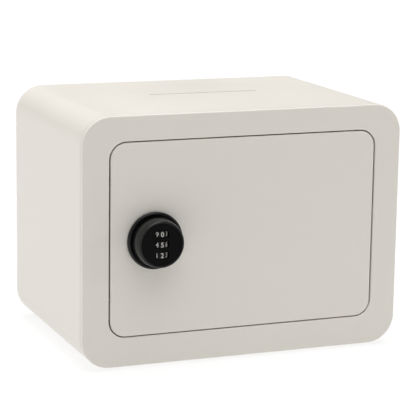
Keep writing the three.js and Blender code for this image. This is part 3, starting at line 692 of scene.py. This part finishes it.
def make_door_skin():
    """Face plate with rounded edges, drilled for the spindle and the rose screws.

    The gap above and below it is finer than the gap at its sides.
    """
    thick = depth("door_face_plate")[1]
    path = rounded([(40 * MM, thick, 0), (0, thick, 0.3 * MM), (0, 0, 1.5 * MM), (40 * MM, 0, 0)], steps=8)
    tall = DOOR._replace(z0=DOOR.z0 - 0.5 * MM, z1=DOOR.z1 + 0.4 * MM)
    skin = pressed("door_skin", tall, path)
    cutters = [hole(SPINDLE_HOLE_R, (KNOB.x, FRONT - MM, KNOB.z), "y", 6 * MM)]
    for word in HEIGHTS:
        screw = middle(f"rose_screw_{word}")
        cutters.append(hole(ROSE_HOLE_R, (screw.x, FRONT - MM, screw.z), "y", 6 * MM))
    carve(skin, *cutters)
    piece(skin, paint, "door", "door_face_plate")


def make_pan():
    """Folded steel tray behind the face plate, with a lip that the inner cover screws to."""
    start, end = depth("door_pan")
    lip = PAN_SHEET + 8 * MM
    path = rounded([
        (PAN_SHEET, start, 0.2 * MM), (0, start, 0.2 * MM), (0, end, 1.6 * MM), (lip, end, 0.3 * MM),
        (lip, end - PAN_SHEET, 0.3 * MM), (PAN_SHEET, end - PAN_SHEET, 0.4 * MM)], closed=True)
    pan = pressed("pan", PAN, path, closed=True)
    cutters = []
    for word in HEIGHTS:
        bolt = middle(f"locking_bolt_{word}")
        cutters.append(hole(BUSH_HOLE_R, (PAN.x0 - 2 * MM, bolt.y, bolt.z), "x", 5 * MM))
    below = (HINGE.x, HINGE.y, PAN.z0 - 2 * MM)
    cutters.append(hole(KNUCKLE_HOLE_R, below, "z", PAN.z1 - PAN.z0 + 4 * MM))
    for spot in COVER_SPOTS:
        at = middle(f"cover_screw_{spot}")
        ahead = (at.x, FRONT + end - 4 * MM, at.z)
        cutters.append(hole(COVER_HOLE_R, ahead, "y", 6 * MM, 24))
    carve(pan, *cutters)
    piece(pan, paint, "door", "door_pan")


def make_inner_cover():
    """Pressed cover over the lock, with a raised bead that stiffens it."""
    start, end = depth("door_inner_cover")
    rise, slope, bend = 1.4 * MM, (18 * MM, 21 * MM), 1.5 * MM
    path = rounded([
        (60 * MM, start + rise, 0), (slope[1], start + rise, bend), (slope[0], start, bend),
        (0, start, 0), (0, end, 0.5 * MM),
        (slope[0], end, bend), (slope[1], end + rise, bend), (60 * MM, end + rise, 0)])
    cover = pressed("inner_cover", COVER, path)
    cutters = []
    for spot in COVER_SPOTS:
        at = middle(f"cover_screw_{spot}")
        ahead = (at.x, FRONT + start - 3 * MM, at.z)
        cutters.append(hole(COVER_HOLE_R, ahead, "y", 8 * MM, 24))
    carve(cover, *cutters)
    piece(cover, liner_paint, "door", "door_inner_cover")


def make_cover_screws():
    """Pan-head screws with a cross recess."""
    start, end = depth("cover_screw_upper_left")
    head = end - 1.8 * MM
    shank_r, head_r = 1.6 * MM, 3.4 * MM
    path = rounded([
        (0.6 * MM, start, 0), (shank_r, start + 0.8 * MM, 0.2 * MM), (shank_r, head, 0.1 * MM),
        (head_r, head, 0.2 * MM), (head_r, end - 0.7 * MM, 0.6 * MM), (1.8 * MM, end, 0.8 * MM),
        (0.4 * MM, end, 0)])
    for i, spot in enumerate(COVER_SPOTS):
        node = f"cover_screw_{spot}"
        at = middle(node)
        screw = turned(f"{spot}_cover_screw", path, Vector((at.x, FRONT, at.z)), "y", 32)
        top = Vector((at.x, FRONT + end, at.z))
        turn = 0.4 + 0.9 * i
        carve(screw, cross_cutter(top, turn), cross_cutter(top, turn + math.pi / 2))
        piece(screw, zinc, "door", node)


def cross_cutter(at, turn):
    """One blade of a cross recess, tapering into the screw's head."""
    rings = []
    for travel, half_length, half_width in ((0.5, 2.0, 0.42), (-1.1, 0.8, 0.25)):
        ring = []
        for a, b in ((-1, -1), (1, -1), (1, 1), (-1, 1)):
            across, along = b * half_width * MM, a * half_length * MM
            x = along * math.cos(turn) - across * math.sin(turn)
            z = along * math.sin(turn) + across * math.cos(turn)
            ring.append(at + Vector((x, travel * MM, z)))
        rings.append(ring)
    return to_object("blade", loft(rings))


def make_seal():
    """Ribbed strip round the pan, close to the jamb."""
    start, end = depth("door_seal")
    inner = panel("door_pan", PAN.radius, grow=0.3 * MM)
    groove = 0.9 * MM
    face = rounded([
        (0.6 * MM, start, 0.3 * MM), (0, start + 0.7 * MM, 0.4 * MM), (groove, start + 1.35 * MM, 0.3 * MM),
        (0, start + 2 * MM, 0.4 * MM), (groove, end - 1.35 * MM, 0.3 * MM), (0, end - 0.7 * MM, 0.4 * MM),
        (0.6 * MM, end, 0.3 * MM)], steps=3)
    root = [(0, end), (0, start)]
    rings = panel_rings(SEAL, face) + panel_rings(inner, root)
    strip = to_object("seal_strip", loft(rings, closed=True))
    piece(strip, seal_rubber, "door", "door_seal")


def make_rose():
    """Fixed ring round the knob, with a rounded rim and a dished top."""
    low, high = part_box("knob_rose")
    outer = (high.x - low.x) / 2
    bore, top, base = 20.3 * MM, 5 * MM, 0.3 * MM
    path = rounded([
        (bore, base, 0.2 * MM), (outer - 0.4 * MM, base, 0.2 * MM), (outer, 1.2 * MM, 0.4 * MM),
        (outer, top, 1.7 * MM), (27 * MM, top, 0.6 * MM), (26 * MM, top - 1.1 * MM, 0.6 * MM),
        (bore, top - 1.3 * MM, 0.3 * MM)], closed=True)
    rose = turned("rose", path, KNOB_FOOT, "front", 160, closed=True)
    cutters = []
    for word in HEIGHTS:
        screw = middle(f"rose_screw_{word}")
        start = (screw.x, FRONT + MM, screw.z)
        cutters.append(hole(ROSE_HOLE_R, start, "front", 4.3 * MM, 24))
    carve(rose, *cutters)
    piece(rose, knob_plastic, "door", "knob_rose")


def make_bushes():
    """Nylon guides for the bolts in the pan's side."""
    bore, neck, flange = 7.3 * MM, 8.6 * MM, 10 * MM
    step, end = 1.8 * MM, 3.8 * MM
    path = rounded([
        (bore, 0, 0.5 * MM), (neck, 0, 0.4 * MM), (neck, step, 0.1 * MM),
        (flange, step, 0.3 * MM), (flange, end, 0.5 * MM), (bore, end, 0.3 * MM)], closed=True)
    for word in HEIGHTS:
        node = f"bolt_bush_{word}"
        at = middle(node)
        start = Vector((PAN.x0, at.y, at.z))
        bush = turned(f"{word}_bush", path, start, "x", 48, closed=True)
        piece(bush, nylon, "door", node)


# ---- Lock ---------------------------------------------------------------------------------

WHEEL_R = 8.75 * MM
WHEEL_NODES = {word: f"number_wheel_{word}" for word in ("upper", "middle", "lower")}
AXLE_HOLE_R = 1.8 * MM
FACE_TOP = 23 * MM
DIGITS = 10
FRONT_DIGITS = (0, 5, 2)  # the digit that each wheel shows in front, from the top
FONT_SIZE_PER_HEIGHT = 1.42
FONT_BOLDNESS = 0.022


def make_knob():
    """Hollow round knob, a little slimmer towards the front, where it rolls in to the face."""
    bore, collar, inside, seat = 4.3 * MM, 19.8 * MM, 18.2 * MM, 21.8 * MM
    foot, floor, shoulder, ledge = 0.6 * MM, 5.4 * MM, 5.7 * MM, 21 * MM
    rim = FACE_TOP - 0.1 * MM
    outside = [
        (25.1 * MM, shoulder, 0.9 * MM), (25.1 * MM, 11 * MM, 6 * MM), (24.7 * MM, 17 * MM, 5 * MM),
        (24.0 * MM, 21.5 * MM, 1.3 * MM), (23.1 * MM, rim, 0.5 * MM)]
    hollow = [
        (seat, rim, 0.2 * MM), (seat, ledge, 0.1 * MM), (inside, ledge, 0.3 * MM),
        (inside, floor, 0.5 * MM), (bore, floor, 0.2 * MM)]
    collar_path = [(bore, foot, 0.2 * MM), (collar, foot, 0.3 * MM), (collar, shoulder, 0.3 * MM)]
    path = rounded(collar_path + outside + hollow, closed=True, steps=8)
    knob = turned("knob_shell", path, KNOB_FOOT, "front", 192, closed=True)
    axle = middle("wheel_axle")
    carve(knob, hole(AXLE_HOLE_R, (axle.x, axle.y, axle.z - 21 * MM), "z", 42 * MM, 24))
    piece(knob, knob_plastic, "knob", "knob_body")


def make_knob_face():
    """Flat disc with a window over each wheel."""
    back, edge = FACE_TOP - 1.7 * MM, 21.5 * MM
    half_wide, half_high, corner = 7.2 * MM, 3.6 * MM, 1.2 * MM
    path = rounded([(6 * MM, back, 0), (edge, back, 0.2 * MM), (edge, FACE_TOP, 0.35 * MM),
                    (6 * MM, FACE_TOP, 0)])
    disc = turned("face_disc", path, KNOB_FOOT, "front", 160)
    centres = [middle(node) for node in WHEEL_NODES.values()]
    cutters = []
    for centre in centres:
        window = Panel(centre.x - half_wide, centre.z - half_high,
                       centre.x + half_wide, centre.z + half_high, corner)
        through = [(0, -FACE_TOP - MM), (0, -FACE_TOP + 3 * MM)]
        cutters.append(pressed("window_cutter", window, through))
    carve(disc, *cutters)

    def on_window(point):
        if abs(point.y - (FRONT - FACE_TOP)) > 0.05 * MM:
            return False
        return any(abs(point.x - centre.x) < 7.5 * MM and abs(point.z - centre.z) < 4 * MM
                   for centre in centres)

    soften(disc, on_window, 0.3 * MM)
    piece(disc, face_plastic, "knob", "knob_face")


def finger_notch(angle, radius):
    """Shallow notches between the digits of a number wheel."""
    if radius < 8 * MM:
        return 0.0
    step = 2 * math.pi / DIGITS
    share = (angle / step) % 1.0
    gap = min(share, 1 - share) * step
    return 0.35 * MM * math.exp(-((gap / math.radians(3.2)) ** 2))


def digit_mesh(text, height):
    """A digit as a flat mesh in X and Y, cut into strips so that it can bend."""
    curve = bpy.data.curves.new("digit", "FONT")
    curve.body = text
    curve.size = FONT_SIZE_PER_HEIGHT * height
    curve.offset = FONT_BOLDNESS * height
    curve.align_x = "CENTER"
    curve.resolution_u = 4
    source = bpy.data.objects.new("digit", curve)
    bpy.context.scene.collection.objects.link(source)
    graph = bpy.context.evaluated_depsgraph_get()
    mesh = bpy.data.meshes.new_from_object(source.evaluated_get(graph))
    bpy.data.objects.remove(source)
    bm = bmesh.new()
    bm.from_mesh(mesh)
    bpy.data.meshes.remove(mesh)
    top = max(v.co.y for v in bm.verts)
    bottom = min(v.co.y for v in bm.verts)
    for vert in bm.verts:
        vert.co.y -= (top + bottom) / 2
    strip = 0.4 * MM
    for k in range(-8, 9):
        geometry = bm.verts[:] + bm.edges[:] + bm.faces[:]
        bmesh.ops.bisect_plane(bm, geom=geometry, plane_co=(k * strip, 0, 0), plane_no=(1, 0, 0))
    return bm


def wrap_digits(centre, first):
    """All ten digits of one wheel, bent round it as thin raised ink, with digit first in front."""
    whole = bmesh.new()
    radius = WHEEL_R - 0.02 * MM
    for k in range(DIGITS):
        strip = digit_mesh(str((first + k) % DIGITS), 4.9 * MM)
        bmesh.ops.remove_doubles(strip, verts=strip.verts, dist=1e-6)
        solid = bmesh.ops.extrude_face_region(strip, geom=strip.faces[:])
        raised = [g for g in solid["geom"] if isinstance(g, bmesh.types.BMVert)]
        for vert in strip.verts:
            vert.co.z = -0.1 * MM
        for vert in raised:
            vert.co.z = 0.0
        for vert in strip.verts:
            angle = vert.co.x / radius + 2 * math.pi * k / DIGITS
            r = radius + vert.co.z
            x = centre.x + r * math.sin(angle)
            y = centre.y - r * math.cos(angle)
            vert.co = Vector((x, y, centre.z + vert.co.y))
        bmesh.ops.recalc_face_normals(strip, faces=strip.faces)
        part = bpy.data.meshes.new("part")
        strip.to_mesh(part)
        strip.free()
        whole.from_mesh(part)
        bpy.data.meshes.remove(part)
    return whole


def make_wheels():
    """Number wheels with notched rims and ten digits each."""
    rim = WHEEL_R - 0.08 * MM
    hub = 3.6 * MM
    half, boss = 3.2 * MM, 5.1 * MM
    lower = [(AXLE_HOLE_R, -boss, 0.1 * MM), (hub, -boss, 0.2 * MM), (hub, -half, 0.2 * MM),
             (rim, -half, 0.5 * MM)]
    upper = [(radius, -travel, fillet) for radius, travel, fillet in reversed(lower)]
    path = rounded(lower + upper, closed=True)
    half_step = math.pi / DIGITS

    def notched(angle, radius):
        return finger_notch(angle + math.pi / 2 + half_step, radius)

    for (word, node), first in zip(WHEEL_NODES.items(), FRONT_DIGITS):
        centre = middle(node)
        rings = turned_rings(path, centre, "z", 240, notched)
        wheel = to_object(f"{word}_wheel", loft(rings, closed=True))
        piece(wheel, wheel_plastic, f"wheel_{word}", node)
        digits = to_object(f"{word}_digits", wrap_digits(centre, first))
        piece(digits, ink, f"wheel_{word}")


def make_axle():
    """Thin upright pin that the wheels turn on."""
    low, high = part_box("wheel_axle")
    at = middle("wheel_axle")
    length, radius = high.z - low.z, 1.5 * MM
    path = rounded([(0.6 * MM, 0, 0), (radius, 0, 0.3 * MM), (radius, length, 0.3 * MM),
                    (0.6 * MM, length, 0)])
    axle = turned("axle", path, Vector((at.x, at.y, low.z)), "z", 32)
    piece(axle, steel, "knob", "wheel_axle")


def make_bolts():
    """Turned bolts with chamfered tips and a flat milled for the bar."""
    radius, chamfer, clear = 7 * MM, 1.1 * MM, 10 * MM
    flat_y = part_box("bolt_bar")[1].y + 0.3 * MM
    for word in HEIGHTS:
        node = f"locking_bolt_{word}"
        low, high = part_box(node)
        at = (low + high) / 2
        length = high.x - low.x
        path = rounded([
            (1 * MM, 0, 0), (radius - chamfer, 0, 0.3 * MM), (radius, chamfer, 0.5 * MM),
            (radius, length, 0.3 * MM), (1 * MM, length, 0)])
        bolt = turned(f"{word}_bolt", path, Vector((low.x, at.y, at.z)), "x", 64)
        flat_x = low.x + 19.6 * MM
        flat = block((flat_x, flat_x + length), (flat_y - 2 * clear, flat_y), (at.z - clear, at.z + clear))
        rivet = middle(f"bolt_rivet_{word}")
        start = (rivet.x, at.y - clear, rivet.z)
        carve(bolt, flat, hole(RIVET_HOLE_R, start, "y", 2 * clear, 24))
        piece(bolt, steel, "bolt_carriage", node)


# ---- CAD nodes that stay ------------------------------------------------------------------

KEPT = {
    "insulation_top": board, "insulation_base": board, "insulation_left": board,
    "insulation_right": board, "insulation_back": board, "door_insulation": board,
    "hinge_bracket_upper": zinc, "hinge_bracket_lower": zinc, "lock_plate": zinc,
    "rose_screw_upper": zinc, "rose_screw_lower": zinc, "spindle": steel, "drive_cam": zinc,
    "spindle_washer": zinc, "spindle_nut": zinc, "bolt_bar": zinc, "bolt_rivet_upper": zinc,
    "bolt_rivet_lower": zinc, "wheel_detent_spring": steel,
}


def dress_kept_nodes():
    """Hidden pieces keep their CAD mesh, with a small bevel and a real finish."""
    for name, finish in KEPT.items():
        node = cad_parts[name]
        node.data.materials.clear()
        node.data.materials.append(finish)
        bevel = node.modifiers.new("edges", "BEVEL")
        bevel.width = 0.15 * MM
        bevel.segments = 2
        bevel.limit_method = "ANGLE"
        bevel.angle_limit = math.radians(50)


make_shell()
make_frame()
make_rear_panel()
make_liner()
make_chute()
make_baffle()
make_mat()
make_feet()
make_plugs()
make_hinges()
make_door_skin()
make_pan()
make_inner_cover()
make_cover_screws()
make_seal()
make_rose()
make_bushes()
make_knob()
make_knob_face()
make_wheels()
make_axle()
make_bolts()
dress_kept_nodes()

# ---- Stage, light and camera --------------------------------------------------------------


def make_floor():
    """A wide round floor that glows evenly, like a light table, and still takes a faint shadow."""
    grey = 0.20
    bm = bmesh.new()
    bmesh.ops.create_circle(bm, cap_ends=True, segments=96, radius=14.0)
    floor = to_object("studio_floor", bm)
    finish = Finish("studio_white", (grey, grey, grey), 0.9)
    finish.roughness(finish.spread(finish.noise(3), 0.85, 0.95))
    finish.shader.inputs["Emission Color"].default_value = (1, 1, 1, 1)
    finish.shader.inputs["Emission Strength"].default_value = 0.78
    floor.data.materials.append(finish.material)


def softbox(name, at, toward, width, height, power):
    """A rectangular area light at one point, aimed at another."""
    light = bpy.data.lights.new(name, "AREA")
    light.shape = "RECTANGLE"
    light.size = width
    light.size_y = height
    light.energy = power
    lamp = bpy.data.objects.new(name, light)
    lamp.location = at
    lamp.rotation_euler = (Vector(toward) - Vector(at)).to_track_quat("-Z", "Y").to_euler()
    lamp.visible_camera = False
    bpy.context.scene.collection.objects.link(lamp)


def light_sky(zenith):
    """A sky that is brightest straight overhead and falls to nothing at the horizon."""
    world = bpy.data.worlds.new("studio")
    world.use_nodes = True
    tree = world.node_tree
    background = tree.nodes["Background"]
    background.inputs["Color"].default_value = (1, 1, 1, 1)
    direction = tree.nodes.new("ShaderNodeTexCoord")
    split = tree.nodes.new("ShaderNodeSeparateXYZ")
    tree.links.new(direction.outputs["Generated"], split.inputs[0])
    height = split.outputs["Z"]
    for operation, value in (("MAXIMUM", 0), ("POWER", 5), ("MULTIPLY", zenith)):
        step = tree.nodes.new("ShaderNodeMath")
        step.operation = operation
        step.inputs[1].default_value = value
        tree.links.new(height, step.inputs[0])
        height = step.outputs[0]
    tree.links.new(height, background.inputs["Strength"])
    bpy.context.scene.world = world


def light_scene():
    """Soft light from above, a large window at the left and a small strip at the right."""
    light_sky(4.25)
    aim = (0, 0, 0.13)
    softbox("left_window", (-2.2, 0.2, 0.9), aim, 1.8, 1.6, 11.5)
    softbox("right_strip", (1.7, -0.9, 0.75), aim, 0.3, 0.5, 4.5)
    bpy.context.scene.view_settings.view_transform = "Standard"


CAMERA_AT = Vector((-0.7135, -1.7760, 0.5322))
CAMERA_YAW = math.radians(21.844)  # to the right of straight ahead
CAMERA_PITCH = math.radians(-11.527)
CAMERA_ROLL = math.radians(0.839)
CAMERA_LENS = 159.84


def make_camera():
    """A long lens that looks slightly down at the front from its left."""
    camera = bpy.data.cameras.new("camera")
    camera.sensor_width = 36
    camera.lens = CAMERA_LENS
    holder = bpy.data.objects.new("camera", camera)
    level = Matrix.Rotation(math.pi / 2, 4, "X")
    pitch = Matrix.Rotation(CAMERA_PITCH, 4, "X")
    yaw = Matrix.Rotation(-CAMERA_YAW, 4, "Z")
    roll = Matrix.Rotation(CAMERA_ROLL, 4, "Z")
    holder.matrix_world = Matrix.Translation(CAMERA_AT) @ yaw @ pitch @ level @ roll
    bpy.context.scene.collection.objects.link(holder)
    bpy.context.scene.camera = holder


make_floor()
light_scene()
make_camera()
